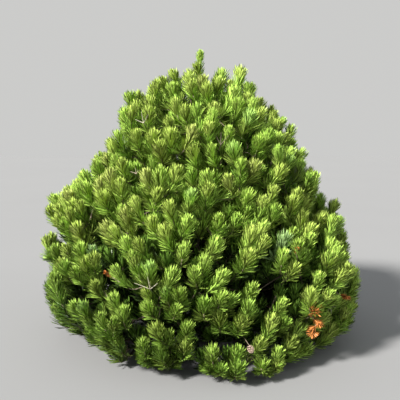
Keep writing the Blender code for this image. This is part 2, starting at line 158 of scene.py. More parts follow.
studio = {
    "cameraPlace": (0.0, -4.64, 1.60),  # metres from the foot of the trunk
    "tiltDown": 8.35,  # degrees
    "lens": 61.4,  # mm, on a sensor 36 mm wide
    "keyTurn": (53.0, 0.0, -46.0),  # from the upper left, a little in front
    "keyWidth": 9.0,  # degrees, soft edged
    "keyPower": 10.3,
    "keyColour": (1.0, 0.97, 0.90),
    "skyPower": 0.76,
    "skyColour": (0.90, 0.93, 0.92),
    "backdropColour": (0.60, 0.60, 0.59),
    "floorSize": 30.0,
    "floorColour": (0.209, 0.211, 0.221),
    "floorFlecks": 0.94,
    "floorGrain": 0.6,
    "floorRoughness": 0.9,
}


def makeStudio():
    scene = bpy.context.scene
    scene.view_settings.view_transform = "Standard"
    lens = bpy.data.cameras.new("camera")
    lens.lens = studio["lens"]
    camera = bpy.data.objects.new("camera", lens)
    camera.location = studio["cameraPlace"]
    camera.rotation_euler = (math.radians(90 - studio["tiltDown"]), 0.0, 0.0)
    key = bpy.data.lights.new("key", "SUN")
    key.energy = studio["keyPower"]
    key.angle = math.radians(studio["keyWidth"])
    key.color = studio["keyColour"]
    sun = bpy.data.objects.new("key", key)
    sun.rotation_euler = [math.radians(a) for a in studio["keyTurn"]]
    for obj in (camera, sun):
        scene.collection.objects.link(obj)
    scene.camera = camera
    world = bpy.data.worlds.new("soft_sky")
    world.use_nodes = True
    graph = Graph(world.node_tree)
    seen = graph.node("ShaderNodeLightPath", out="Is Camera Ray")
    light = graph.node("ShaderNodeBackground", {}, {
        "Color": rgb(studio["skyColour"]), "Strength": studio["skyPower"]})
    backdrop = graph.node("ShaderNodeBackground", {}, {"Color": rgb(studio["backdropColour"])})
    mixed = graph.node("ShaderNodeMixShader", {}, {0: seen, 1: light, 2: backdrop})
    graph.feed(world.node_tree.nodes["World Output"].inputs["Surface"], mixed)
    scene.world = world
    finish = Finish("floor_finish")
    pale, flecks = (rgb(studio["floorColour"], gain) for gain in (1.0, studio["floorFlecks"]))
    finish.set("Base Color", finish.blend(finish.grain(studio["floorGrain"]), pale, flecks))
    finish.set("Roughness", studio["floorRoughness"])
    half = studio["floorSize"] / 2
    corners = [(-half, -half, 0), (half, -half, 0), (half, half, 0), (-half, half, 0)]
    newPiece("floor", corners, [(0, 1, 2, 3)], finish.material)
    print("studio: camera, key light, sky and floor")


# Meshes and lines

def linked(name, mesh, attributes):
    # the mesh as an object, with a value of each kind at each point
    for key, values in attributes.items():
        row = mesh.attributes.new(key, "FLOAT", "POINT")
        row.data.foreach_set("value", np.asarray(values, np.float32))
    piece = bpy.data.objects.new(name, mesh)
    bpy.context.scene.collection.objects.link(piece)
    return piece


def newPiece(name, points, faces, material, attributes=None, smooth=False):
    mesh = bpy.data.meshes.new(name)
    mesh.from_pydata([tuple(p) for p in points], [], faces)
    mesh.materials.append(material)
    if smooth:
        mesh.shade_smooth()
    return linked(name, mesh, attributes or {})


def wireMesh(name, lines, attributes):
    # open lines of points, joined in one mesh of edges
    edges, first = [], 0
    for line in lines:
        edges += [(first + k, first + k + 1) for k in range(len(line) - 1)]
        first += len(line)
    mesh = bpy.data.meshes.new(name)
    mesh.from_pydata([tuple(p) for line in lines for p in line], edges, [])
    return linked(name, mesh, {key: np.concatenate(rows) for key, rows in attributes.items()})


def runTree(piece, tree, values):
    # runs the tree on the piece and leaves its result as a plain mesh
    modifier = piece.modifiers.new("growth", "NODES")
    modifier.node_group = tree
    for item in tree.interface.items_tree:
        if item.in_out == "INPUT" and item.name in values:
            modifier[item.identifier] = values[item.name]
    bpy.context.view_layer.update()
    graph = bpy.context.evaluated_depsgraph_get()
    mesh = bpy.data.meshes.new_from_object(piece.evaluated_get(graph))
    piece.modifiers.remove(modifier)
    mesh.name = piece.name
    piece.data = mesh


def finishPiece(piece, nodes):
    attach(piece, "root")
    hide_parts(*nodes)
    triangles = sum(len(face.vertices) - 2 for face in piece.data.polygons)
    print(f"{piece.name}: {triangles} triangles")
    return triangles


def level(azimuth):
    return Vector((math.cos(azimuth), math.sin(azimuth), 0.0))


def flat(vector):
    return Vector((vector.x, vector.y, 0.0))


def leftOf(out):
    return Vector((-out.y, out.x, 0.0))


def bezier(a, b, c, d, steps):
    ways = [k / steps for k in range(steps + 1)]
    return [
        (1 - t) ** 3 * a + 3 * t * (1 - t) ** 2 * b + 3 * t * t * (1 - t) * c + t ** 3 * d
        for t in ways
    ]


def headings(line):
    # unit directions at the points of a line
    return [
        (line[min(k + 1, len(line) - 1)] - line[max(k - 1, 0)]).normalized()
        for k in range(len(line))
    ]


def lengthsAlong(line):
    steps = [(b - a).length for a, b in zip(line, line[1:])]
    return np.concatenate([[0.0], np.cumsum(steps)])


def pointAt(line, lengths, place):
    return Vector([float(np.interp(place, lengths, [p[k] for p in line])) for k in range(3)])


# The plant's frame of growth: the same rule, sizes and seeds as its solids

growth = {
    "seed": 7,
    "height": 1.95,
    "crownRadius": 1.09,
    "outline": [  # shares of radius and height, from the skirt to the dome
        (0.86, 0.010), (0.94, 0.035), (0.985, 0.090), (1.00, 0.170), (1.00, 0.270),
        (0.985, 0.370), (0.93, 0.455), (0.80, 0.545), (0.705, 0.640), (0.585, 0.745),
        (0.50, 0.825), (0.40, 0.885), (0.29, 0.925), (0.12, 0.948), (0.00, 0.952),
    ],
    "whorls": [  # name, height, boughs, first azimuth, centres' radius and height
        ("skirt", 0.085, 6, -68.0, 0.80, 0.20),
        ("low", 0.300, 6, -38.0, 0.80, 0.56),
        ("middle", 0.560, 5, -92.0, 0.64, 0.92),
        ("high", 0.850, 4, -50.0, 0.45, 1.24),
        ("top", 1.140, 3, -95.0, 0.28, 1.51),
    ],
    "leaderCentre": (0.0, 0.0, 1.72),
    "stagger": 0.022,
    "azimuthJitter": 8.0,
    "centreJitter": (0.05, 0.05),  # as a share of the radius, and in height
    "bulges": [  # size as a share of the radius, height, depth in height, azimuth
        (0.08, 1.00, 0.16, 180.0), (-0.14, 0.99, 0.13, 0.0), (0.05, 1.35, 0.16, 0.0),
        (-0.06, 1.42, 0.16, 180.0), (-0.06, 0.70, 0.12, 180.0),
        (0.10, 0.00, 0.20, -70.0), (-0.23, 0.02, 0.18, 187.0),
        (-0.18, 1.69, 0.07, 0.0), (0.05, 1.64, 0.08, 180.0),
    ],
    "lumpSize": 0.022,
    "lumpWaves": [(4, 8.0), (7, -11.0)],  # lumps round the crown, their slant
    "valley": (0.045, 0.10, 1.5),  # depth and width between the masses, and its power
    "elevations": [(0.05, 58.0), (0.25, 72.0), (0.9, 78.0), (1.4, 82.0), (1.9, 88.0)],
    "elevationJitter": 10.0,
    "fanShare": 0.14,
    "tipSeed": 30,
    "candidates": 12000,
    "outlineSteps": 400,
    "slopeSpan": 0.04,  # metres along the outline, over which its slope is read
    "spacing": (0.096, 0.146),
    "tuftMiddle": 0.04,  # below the tip; the middles are what is spaced
    "innerSpacing": 0.104,
    "innerDepth": (0.10, 0.58),  # of the shaded shoots, below the crown's surface
    "innerLowest": 0.06,
}

trunk = {
    "top": 1.60,
    "footRadius": 0.056,
    "tipRadius": 0.010,
    "taperPower": 0.9,
    "flareWidth": 0.030,
    "flareHeight": 0.09,
    "flareFall": 2.2,
    "flareLobes": 5,
    "lobeDepth": 0.25,
    "sway": (0.016, 0.0112),  # to the side and to the back
    "swayWaves": (5.0, 3.6),
    "steps": 60,  # of its axis, from whose upper end the leader's twigs spring
    "sides": 72,
    "rings": 230,
    "ringPower": 1.15,  # rings lie closer at the foot
    "inset": 0.0015,  # the bark's ridges come up to the solid's face
    "plate": 0.030,  # size of the bark's plates
    "crack": 0.0035,  # depth of the furrows between them
    "collar": 0.45,  # swelling where a bough leaves, as a share of its radius
    "collarReach": 1.5,
    "finish": ((0.19, 0.155, 0.120), (0.04, 0.030, 0.022), 1.0),  # pale, dark, grain
}

boughs = {
    "steps": 40,
    "seat": 0.9,  # where a bough starts, as a share of the trunk's radius
    "share": 0.60,  # of the way out to its mass's centre
    "endShare": 0.52,  # of the way up to it
    "handles": (0.4, 0.35),
    "firstRise": 0.10,
    "radius": (0.021, 0.009),
    "slimming": 0.55,  # of the boughs towards the trunk's top
    "taperPower": 0.8,
    "taperShare": 0.8,  # of its length; past it, it thins with the shoots that it carries
    "thinnest": 0.004,
    "sides": 16,
    "plate": 0.018,
    "crack": 0.0014,
    # painted shade: the bark is darker than its own grey, as the boughs sit in the crown's shade
    "finish": ((0.085, 0.062, 0.044), (0.07, 0.055, 0.043), 1.6),
}


def trunkCentre(height):
    share = height / trunk["top"]
    side, back = trunk["sway"]
    first, second = trunk["swayWaves"]
    return Vector((side * math.sin(first * share), back * (1 - math.cos(second * share)), height))


def trunkRadius(height, azimuth):
    share = (height / trunk["top"]) ** trunk["taperPower"]
    taper = trunk["footRadius"] + (trunk["tipRadius"] - trunk["footRadius"]) * share
    flare = trunk["flareWidth"] * math.exp(-height / trunk["flareHeight"] * trunk["flareFall"])
    lobe = trunk["lobeDepth"]
    return taper + flare * (1 - lobe + lobe * math.cos(trunk["flareLobes"] * azimuth))


def boughPlan():
    # name, azimuth, height on the trunk and centre of the mass at its tip
    dice = random.Random(growth["seed"])
    plan = []
    for tier, height, count, first, radius, centreHeight in growth["whorls"]:
        for k in range(count):
            turn = dice.uniform(-1, 1) * growth["azimuthJitter"]
            azimuth = math.radians(first + 360.0 * k / count + turn)
            start = height + growth["stagger"] * (-1, 1)[k % 2] * dice.uniform(0.5, 1.0)
            nearer, higher = growth["centreJitter"]
            centre = level(azimuth) * radius * (1 + dice.uniform(-1, 1) * nearer)
            centre.z = centreHeight + dice.uniform(-1, 1) * higher
            plan.append((f"{tier}_{k + 1}", azimuth, start, centre))
    return plan


def boughLine(azimuth, start, centre):
    out = level(azimuth)
    foot = trunkCentre(start) + out * trunkRadius(start, azimuth) * boughs["seat"]
    end = out * flat(centre).length * boughs["share"]
    end.z = start + (centre.z - start) * boughs["endShare"]
    reach = (end - foot).length
    near, far = boughs["handles"]
    first = foot + out * near * reach
    first.z += boughs["firstRise"] * (end.z - foot.z)
    second = end - (centre - end).normalized() * far * reach
    return bezier(foot, first, second, end, boughs["steps"])


def sideReach(azimuth, height):
    # how far the crown reaches there, as a share of its plain outline
    reach = 1.0
    for size, middle, depth, turn in growth["bulges"]:
        lobe = math.exp(-(((height - middle) / depth) ** 2))
        reach += size * lobe * max(math.cos(azimuth - math.radians(turn)), 0.0) ** 2
    for count, rise in growth["lumpWaves"]:
        reach += growth["lumpSize"] * math.sin(count * azimuth + rise * height)
    return reach


def crownRadiusAt(height):
    rows = sorted((z * growth["height"], r * growth["crownRadius"]) for r, z in growth["outline"])
    return float(np.interp(height, *np.transpose(rows)))


def spotOn(turn, height, depth=0.0):
    # a point on the crown's surface, or so far under it
    azimuth = math.radians(turn)
    reach = crownRadiusAt(height) * sideReach(azimuth, height) - depth
    return level(azimuth) * reach + up * height


def keepInside(point, depth):
    # moves a point in, to lie at least so far under the crown's surface
    azimuth, away = math.atan2(point.y, point.x), math.hypot(point.x, point.y)
    share = (crownRadiusAt(point.z) * sideReach(azimuth, point.z) - depth) / max(away, 1e-6)
    if 0 < share < 1:
        point.x *= share
        point.y *= share


def crownPoints(dice):
    # points spread evenly over the crown's surface in a seeded order, with its outward way
    outline = np.array(growth["outline"]) * (growth["crownRadius"], growth["height"])
    along = np.concatenate([[0.0], np.cumsum(np.hypot(*np.diff(outline, axis=0).T))])
    fine = np.linspace(0.0, along[-1], growth["outlineSteps"])
    radius = np.interp(fine, along, outline[:, 0])
    height = np.interp(fine, along, outline[:, 1])
    area = np.concatenate([[0.0], np.cumsum((radius[1:] + radius[:-1]) / 2)])
    count, span = growth["candidates"], growth["slopeSpan"]
    places = np.interp((np.arange(count) + 0.5) / count * area[-1], area, fine)
    found = []
    for k, place in enumerate(places):
        azimuth = k * goldenTurn
        r, z = float(np.interp(place, fine, radius)), float(np.interp(place, fine, height))
        near = np.clip([place - span, place + span], 0.0, along[-1])
        dr, dz = (float(np.diff(np.interp(near, fine, row))[0]) for row in (radius, height))
        normal = (level(azimuth) * dz - up * dr).normalized()
        found.append((level(azimuth) * r * sideReach(azimuth, z) + up * z, normal))
    dice.shuffle(found)
    return found


# Shoots: where each one ends, how it points, and the wood that carries it

shoots = {
    "tuftRise": 0.070,  # from the end of a shoot to its needles' tips
    "leaderSpacing": 0.25,
    "leaderLength": 0.36,
    "leaderVigour": 0.66,  # of the topmost tuft, slimmer than the rest
    "lateralLength": 0.11,
    "lateralDip": (0.012, 0.070),  # below its leader's level, near and far from it
    "dipJitter": (0.6, 1.2),
    "lateralFan": 0.30,  # how far a lateral leans away from its leader
    "lateralPull": 0.20,  # how far it stands in towards its leader
    "pullJitter": (0.4, 1.2),
    "tilt": 0.11,  # at random
    "vigour": (0.80, 1.13),
    "inset": (0.015, 0.045),  # of the tufts' tips from the outline
    "skirtTuck": (0.42, 0.090),  # below this height shoots stand in by up to this much
    "outward": 0.42,  # how far a shoot's lower part leans out
    "parts": (0.45, 0.55),  # shares of its length above and below its bend
    "handles": (0.4, 0.2),  # of the curves before and after its root
    "pathWeight": 0.35,
    "turnWeight": 0.55,
    "step": 0.025,
    "ground": 0.022,
    "lowestRoot": 0.055,  # shoots low on the skirt are shorter, to spring from above this
    "shortest": 0.06,
    "stemDepth": 0.08,  # of the wood between the shoots, under the crown's surface
    "clothed": 0.13,  # metres of the twig behind a shoot that bear needles too
    "innerFullness": 0.6,
    "onTrunk": (0.80, 1.0),  # shares of the trunk and of a limb that wood springs from
    "onLimb": (0.38, 1.0),
    "rootFree": 0.12,  # share of a shoot, and metres of its end, that nothing springs from
    "endFree": 0.10,
    "limbStem": (0.08, 0.25, 10),  # a limb in its mass: handle, share past the centre, steps
}

Site = namedtuple("Site", "point way path line place mass")  # where wood can spring from


class Wood:
    # every axis of the plant, as a line of points that springs from an earlier one
    def __init__(self):
        self.lines = []
        self.parents = []
        self.sites = []

    def add(self, line, parent, mass, path=0.0, usable=(0.0, 1.0)):
        own = len(self.lines)
        self.lines.append(line)
        self.parents.append(parent)
        lengths = lengthsAlong(line)
        for k, (point, way) in enumerate(zip(line, headings(line))):
            if usable[0] <= lengths[k] / lengths[-1] <= usable[1]:
                self.sites.append(Site(point, way, path + lengths[k], own, k, mass))
        return own

    def nearest(self, target, mass):
        best, least = None, math.inf
        for site in self.sites:
            if site.mass != mass:
                continue
            gap = target - site.point
            turn = 1 - gap.dot(site.way) / max(gap.length, 1e-6)
            cost = gap.length * (1 + shoots["turnWeight"] * turn) + shoots["pathWeight"] * site.path
            if cost < least:
                best, least = site, cost
        return best

    def loads(self):
        # the number of shoots that each point of each line carries
        rows = [np.ones(len(line)) for line in self.lines]
        for own in reversed(range(len(self.lines))):
            if self.parents[own] is not None:
                parent, place = self.parents[own]
                rows[parent][: place + 1] += rows[own][0]
        return rows


particulars = {  # single features, placed by azimuth in degrees and height
    "clearings": [  # dark gaps between the shoots, with their radius
        (-96.0, 0.27, 0.085), (-42.0, 0.29, 0.075), (-79.0, 1.36, 0.060), (-115.0, 0.75, 0.050),
        (-105.0, 0.57, 0.055), (-55.0, 0.78, 0.050), (-129.0, 1.48, 0.050), (-120.0, 1.19, 0.045),
        (-48.0, 0.38, 0.050), (-73.0, 0.20, 0.045), (172.0, 1.06, 0.070), (-163.0, 1.48, 0.060),
    ],
    "clearingDepth": 0.02,
    "forks": [  # bare twigs that part, with their reach, their rise and how bleached they are
        (-106.0, 0.56, 0.095, 0.7, 2.0), (-55.0, 0.76, 0.035, 0.8, 1.3),
        (-129.0, 1.46, 0.065, 1.2, 1.8), (-120.0, 1.17, 0.035, 1.0, 1.2),
        (-79.0, 1.34, 0.080, 2.4, 0.35), (-38.0, 0.36, 0.055, -1.2, 2.0),
        (60.0, 0.70, 0.060, 0.8, 1.5), (140.0, 0.95, 0.060, 0.8, 1.5),
    ],
    "rust": [  # withered sprays, with their size
        (-52.0, 0.39, 0.80), (-48.0, 0.30, 0.55), (-50.0, 0.25, 0.50), (-30.0, 0.38, 0.34),
        (-58.0, 0.77, 0.22), (-121.0, 0.63, 0.26), (75.0, 0.55, 0.55),
    ],
    "glaucous": [(-59.0, 0.96), (-130.0, 0.80), (100.0, 0.70)],
    "corners": [  # tufts that stand out at the crown's shoulders: azimuth, reach, height
        (-6.0, 0.925, 0.93), (-24.0, 0.93, 0.88), (20.0, 0.92, 0.89),
        (-20.0, 0.285, 1.81), (-152.0, 0.195, 1.835), (-110.0, 0.10, 1.86),
    ],
    "cornerLean": 0.25,
    "cone": (-74.5, 0.24),
}


def nearestMass(centres, point):
    return min(range(len(centres)), key=lambda k: (centres[k] - point).length)


def placeTips(plan, centres):
    # the tufts' tips, kept apart, with their way and mass, and those of the shaded shoots
    rows = np.array([tuple(c) for c in centres])
    apart = np.linalg.norm(rows[:, None] - rows[None], axis=2)
    dice = random.Random(growth["seed"] + 1)
    peak = up * growth["height"]
    found, inner = [(peak, up, len(plan))], []
    middles = [peak - up * growth["tuftMiddle"]]
    clearings = [(spotOn(turn, height, particulars["clearingDepth"]), size)
                 for turn, height, size in particulars["clearings"]]
    for turn, reach, height in particulars["corners"]:
        out = level(math.radians(turn))
        spot = out * reach + up * height
        way = (out * particulars["cornerLean"] + up).normalized()
        found.append((spot, way, nearestMass(centres, spot)))
        middles.append(spot - way * growth["tuftMiddle"])
    depth, width, power = growth["valley"]
    tuckBelow, tuck = shoots["skirtTuck"]
    for point, normal in crownPoints(random.Random(growth["tipSeed"])):
        squares = ((rows - np.array(point)) ** 2).sum(axis=1)
        own = int(np.argmin(squares))
        others = np.arange(len(rows)) != own
        edge = float(((squares - squares[own])[others] / (2 * apart[own][others])).min())
        dip = depth * (1 - min(edge / width, 1.0)) ** power
        dip += tuck * max(1 - point.z / tuckBelow, 0.0)
        tip = point - normal * (dip + dice.uniform(*shoots["inset"]))
        elevation = float(np.interp(point.z, *np.transpose(growth["elevations"])))
        elevation = math.radians(elevation + dice.uniform(-1, 1) * growth["elevationJitter"])
        out = flat(normal)
        if out.length < 1e-3:
            out = level(dice.uniform(0, 2 * math.pi))
        way = out.normalized() * math.cos(elevation)
        way.z = math.sin(elevation)
        way = way.lerp((tip - centres[own]).normalized(), growth["fanShare"]).normalized()
        middle = tip - way * growth["tuftMiddle"]
        if any((middle - spot).length < size for spot, size in clearings):
            continue
        room = dice.uniform(*growth["spacing"])
        if all((middle - other).length > room for other in middles):
            found.append((tip, way, own))
            middles.append(middle)
            continue
        deep = tip - normal * dice.uniform(*growth["innerDepth"])
        if deep.z > growth["innerLowest"]:
            if all((deep - row[0]).length > growth["innerSpacing"] for row in inner):
                inner.append((deep, way, own))
    return found, inner


def growWood(plan):
    centres = [centre for *_, centre in plan] + [Vector(growth["leaderCentre"])]
    tips, inner = placeTips(plan, centres)
    dice = random.Random(growth["seed"] + 3)
    wood = Wood()
    steps = trunk["steps"]
    spine = [trunkCentre(trunk["top"] * k / steps) for k in range(steps + 1)]
    trunkLine = wood.add(spine, None, len(plan), usable=shoots["onTrunk"])
    handle, past, steps = shoots["limbStem"]
    for k, (_, azimuth, start, centre) in enumerate(plan):
        line = boughLine(azimuth, start, centre)
        way = (line[-1] - line[-2]).normalized()
        far = centre + (centre - line[-1]) * past
        line += bezier(line[-1], line[-1] + way * handle, centre, far, steps)[1:]
        wood.add(line, (trunkLine, 0), k, usable=shoots["onLimb"])
    wood.limbCount = len(wood.lines)
    leaders, laterals, grown = [], [], []
    for tip, way, mass in tips:
        clear = all((tip - other[0]).length > shoots["leaderSpacing"] for other in leaders)
        (leaders if clear else laterals).append((tip, way, mass))
    for tip, way, mass in sorted(leaders, key=lambda row: (row[0] - centres[row[2]]).length):
        grown.append(growShoot(wood, tip, way, mass, shoots["leaderLength"], dice))
    near, far = shoots["lateralDip"]
    for tip, way, mass in laterals:
        chief = min(leaders, key=lambda row: (row[0] - tip).length)
        apart = min((chief[0] - tip).length / shoots["leaderSpacing"], 1.0)
        away = (tip - chief[0] + chief[1] * shoots["leaderLength"]).normalized()
        way = way.lerp(away, shoots["lateralFan"]).normalized()
        tip = tip - way * (near + (far - near) * apart * apart) * dice.uniform(*shoots["dipJitter"])
        tip = tip.lerp(chief[0], shoots["lateralPull"] * dice.uniform(*shoots["pullJitter"]))
        grown.append(growShoot(wood, tip, way, mass, shoots["lateralLength"], dice))
    for tip, way, mass in inner:
        grown.append(growShoot(wood, tip, way, mass, shoots["lateralLength"], dice, shaded=True))
    print("shoots:", len(leaders), "leaders,", len(laterals), "laterals,", len(inner), "inner")
    for turn, height in particulars["glaucous"]:
        spot = spotOn(turn, height)
        min(grown, key=lambda shoot: (shoot["tip"] - spot).length)["tone"] = "glaucous"
    wood.coneLine = coneStem(wood, centres)
    growRust(wood, grown, dice)
    max(grown, key=lambda shoot: shoot["tip"].z)["vigour"] = shoots["leaderVigour"]
    return wood, grown


def growShoot(wood, tip, way, mass, length, dice, shaded=False):
    # a shoot that ends under the tip, and the twig that joins it to its mass's wood
    tilt = Vector([dice.gauss(0.0, shoots["tilt"]) for _ in range(3)])
    way = (way + tilt).normalized()
    out, radial = flat(way), flat(tip)
    out = radial if out.dot(radial) < 0 else out
    low = way.lerp(out.normalized(), shoots["outward"]) if out.length > 1e-3 else way
    low = low.normalized()
    end = tip - way * shoots["tuftRise"]
    above, below = shoots["parts"]
    fall = max(way.z * above + low.z * below, 0.1)
    length = min(length, max(end.z - shoots["lowestRoot"], shoots["shortest"]) / fall)
    bend = end - way * length * above
    root = bend - low * length * below
    site = wood.nearest(root, mass)
    gap = (root - site.point).length
    first = site.way.lerp((root - site.point).normalized(), 0.5).normalized()
    before, after = shoots["handles"]
    line = bezier(site.point, site.point + first * gap * before, root - low * gap * before, root,
                  max(2, int(gap / shoots["step"])))
    for point in line[1:-1]:
        keepInside(point, shoots["stemDepth"])
    line += bezier(root, root + low * length * after, bend, end,
                   max(4, int(length / shoots["step"])))[1:]
    for point in line:
        point.z = max(point.z, shoots["ground"])
    last = max(shoots["rootFree"] + 0.01, 1 - shoots["endFree"] / lengthsAlong(line)[-1])
    own = wood.add(line, (site.line, site.place), mass, site.path, (shoots["rootFree"], last))
    clothed = length + min(gap, shoots["clothed"])
    return {"line": own, "clothed": clothed, "tip": tip, "way": way, "lot": dice.random(),
            "vigour": dice.uniform(*shoots["vigour"]), "shaded": shaded,
            "full": shoots["innerFullness"] if shaded else 1.0, "tone": None}


rust = {
    "aside": 0.8, "out": 0.6, "droop": 0.15,  # the way of a withered spray
    "depth": 0.035,  # of its end, under the crown's surface
    "clothed": 0.05,  # metres of it that bear needles
    "handles": (0.4, 0.02),
    "steps": 6,
    "fullness": 0.5,
    "lowest": -2.0,  # its needles hang as they like
}


def growRust(wood, grown, dice):
    # withered sprays, each on a twig from the nearest wood
    before, after = rust["handles"]
    for turn, height, size in particulars["rust"]:
        out = level(math.radians(turn))
        aside = leftOf(out) * dice.choice((-rust["aside"], rust["aside"]))
        way = (out * rust["out"] + aside - up * rust["droop"]).normalized()
        end = spotOn(turn, height, rust["depth"])
        start = min(wood.sites, key=lambda site: (site.point - end).length)
        line = bezier(start.point, start.point.lerp(end, before), end - way * after, end,
                      rust["steps"])
        own = wood.add(line, (start.line, start.place), start.mass)
        grown.append({"line": own, "clothed": rust["clothed"], "tip": end, "way": way, "lot": 0.0,
                      "vigour": size, "shaded": False, "full": rust["fullness"], "tone": "rust"})


forks = {
    "depth": 0.070,  # of the parting, under the crown's surface
    "stem": ((0.12, 0.07), (0.06, 0.04), (0.02, 0.02)),  # back and down from the parting
    "asides": (-0.95, 0.85, 0.0),
    "asideJitter": 0.25,
    "rise": 1.5,  # of the middle prong; those at the sides rise less
    "outward": 0.2,
    "reach": (0.7, 1.15),
    "bend": 0.06,
    "thick": (0.0024, 0.0010),
    "steps": 6,
}


def bareForks():
    # dead twigs that part in three, as (line, how bleached)
    dice = random.Random(growth["seed"] + 5)
    rows, steps = [], forks["steps"]
    for turn, height, size, rise, bleach in particulars["forks"]:
        out = level(math.radians(turn))
        foot = spotOn(turn, height, forks["depth"])
        stem = [foot - out * back - up * down for back, down in forks["stem"]]
        rows.append((bezier(*stem, foot, steps), bleach))
        for aside in forks["asides"]:
            aside += dice.uniform(-forks["asideJitter"], forks["asideJitter"])
            way = leftOf(out) * aside + up * rise * (forks["rise"] - abs(aside))
            way = (way + out * forks["outward"]).normalized()
            end = foot + way * size * dice.uniform(*forks["reach"])
            bow = up * size * dice.uniform(-forks["bend"], forks["bend"])
            bend = foot + way * size * 0.5 + bow
            rows.append((bezier(foot, bend, bend, end, steps), bleach))
    return rows


# Needles, in zones down each shoot from its end

needles = {
    "zones": [  # from, to (metres below the end), lean at both, spread, density, size
        ("crest", 0.000, 0.016, 20.0, 24.0, 18.0, 1.00, 0.93),
        ("side", 0.016, 0.050, 33.0, 35.0, 6.0, 0.62, 1.00),
        ("ruff", 0.060, 0.145, 37.0, 42.0, 7.0, 0.27, 1.02),
        ("old", 0.160, 0.330, 44.0, 52.0, 8.0, 0.20, 1.02),
    ],
    "shortestZone": 0.012,
    "oldThinning": 0.35,
    "steps": 7,
    "sizes": {  # the modifier's own inputs
        "Spacing": 0.00023,
        "Length": 0.094,
        "Width": 0.0048,
        "Roll Spread": 0.55,
        "Lift": 0.20,  # how far every needle turns upwards
        "Lowest": 0.16,  # rise of the flattest needles, as a share of their length
        "Ground": 0.004,  # no needle starts below this
    },
    "lengths": (0.86, 1.10),  # at random, as shares of the plain length and width
    "widths": (0.8, 1.2),
    "spinJitter": 0.3,
    "bow": 0.035,  # how far a needle bends, as a share of its length
    "shoulder": 0.84,  # where it starts to taper
    "coarser": {"deep": 1.4, "dark": 1.7},  # wider and fewer needles in the shade
    "triangles": 3,
    "mostTriangles": 180000,  # in one piece
    "seeds": (40, 10),  # of the first piece, and from each to the next
}

tones = {  # base colours of the sprays, from the freshest tips to the oldest needles; deep and dark, on the shaded shoots, are painted shade
    "lime": (0.375, 0.480, 0.066),
    "fresh": (0.358, 0.505, 0.054),
    "grass": (0.350, 0.545, 0.053),
    "sea": (0.325, 0.540, 0.068),
    "leaf": (0.290, 0.490, 0.043),
    "olive": (0.225, 0.345, 0.033),
    "deep": (0.102, 0.204, 0.016),
    "dark": (0.034, 0.067, 0.008),
    "glaucous": (0.300, 0.480, 0.100),
    "rust": (0.560, 0.235, 0.036),
}

dealing = {  # by zone, the share of shoots in each tone, and how the shares shift
    "crest": [("lime", 0.11), ("fresh", 0.40), ("grass", 0.30), ("sea", 0.03), ("leaf", 0.16)],
    "side": [("lime", 0.12), ("fresh", 0.41), ("grass", 0.27), ("sea", 0.02), ("leaf", 0.18)],
    "ruff": [("fresh", 0.12), ("grass", 0.23), ("leaf", 0.40), ("olive", 0.25)],
    "old": [("grass", 0.08), ("leaf", 0.22), ("olive", 0.30), ("deep", 0.40)],
    "lowShift": 1.15,  # painted shade: how much the sprays darken downwards
    "sideShift": 1.2,  # painted light and shade: and darken to the right, away from the light, the other way round below the turning height
    "turnHeight": 0.30,  # as a share of the plant's height
    "shiftLimits": (-0.27, 0.75),
    "openAbove": 0.45,  # share of the height above which light reaches the shaded shoots
}

needleLook = {
    "specular": 0.2,
    "paler": (1.36, 1.26, 2.40),  # colours of the palest and the darkest needles; the palest one's extra blue is a painted highlight, like light glinting off the wax
    "darker": 0.17,
    "tint": (0.62, 1.8, 0.3),  # middle of the tints, spread by needle, drift by place; the wide spread by needle is partly tone that differs at random and partly painted light and shade on single needles
    "driftGrain": (7.0, 3.0),
    # painted shade towards the needles' roots, inside the tufts: their colour there, and how soon
    # it lifts
    "root": 0.38,
    "brightening": 2.4,  # a needle comes out of its painted shade to its full colour at 1 / this of its length
    "roughness": (0.32, 0.2),
    "shadeTop": 0.95,  # metres, under which painted shade darkens the foliage, more so on the left
    "lowShade": (0.30, 0.36, 0.30),
}


def needleFinish(name, colour):
    # each needle has its own tint, partly painted light and shade, with a painted highlight in the
    # palest, and painted shade towards its root
    look = needleLook
    finish = Finish(name, look["specular"])
    tint, along = finish.own("tint"), finish.own("along")
    middle, spread, drift = look["tint"]
    factor = finish.grain(*look["driftGrain"]) * drift + (tint - 0.5) * spread + middle
    paler = [min(1.0, part * gain) for part, gain in zip(colour, look["paler"])]
    mixed = finish.blend(factor, rgb(colour, look["darker"]), rgb(paler))
    mixed = finish.blend(along * look["brightening"], rgb(colour, look["root"]), mixed)
    # painted shade: darker low down, more so on the left
    east, height = (finish.part(finish.place, axis) for axis in "XZ")
    low = (1.0 - height * (1 / look["shadeTop"])) * (0.5 - 0.5 * east)
    finish.set("Base Color", finish.blend(low, mixed, rgb(look["lowShade"]), "MULTIPLY"))
    least, more = look["roughness"]
    finish.set("Roughness", least + more * tint)
    return finish.material


def needleShape():
    # a blade of three triangles, one unit long and wide, bent a little outwards
    bow, shoulder = needles["bow"], needles["shoulder"]
    points = [(0, -0.4, 0), (0, 0.4, 0), (bow, -0.5, shoulder), (bow, 0.5, shoulder), (0, 0, 1)]
    along = {"along": [p[2] for p in points]}
    shape = newPiece("needle_shape", points, [(0, 1, 3, 2), (2, 3, 4)], None, along)
    shape.hide_render = True
    return shape


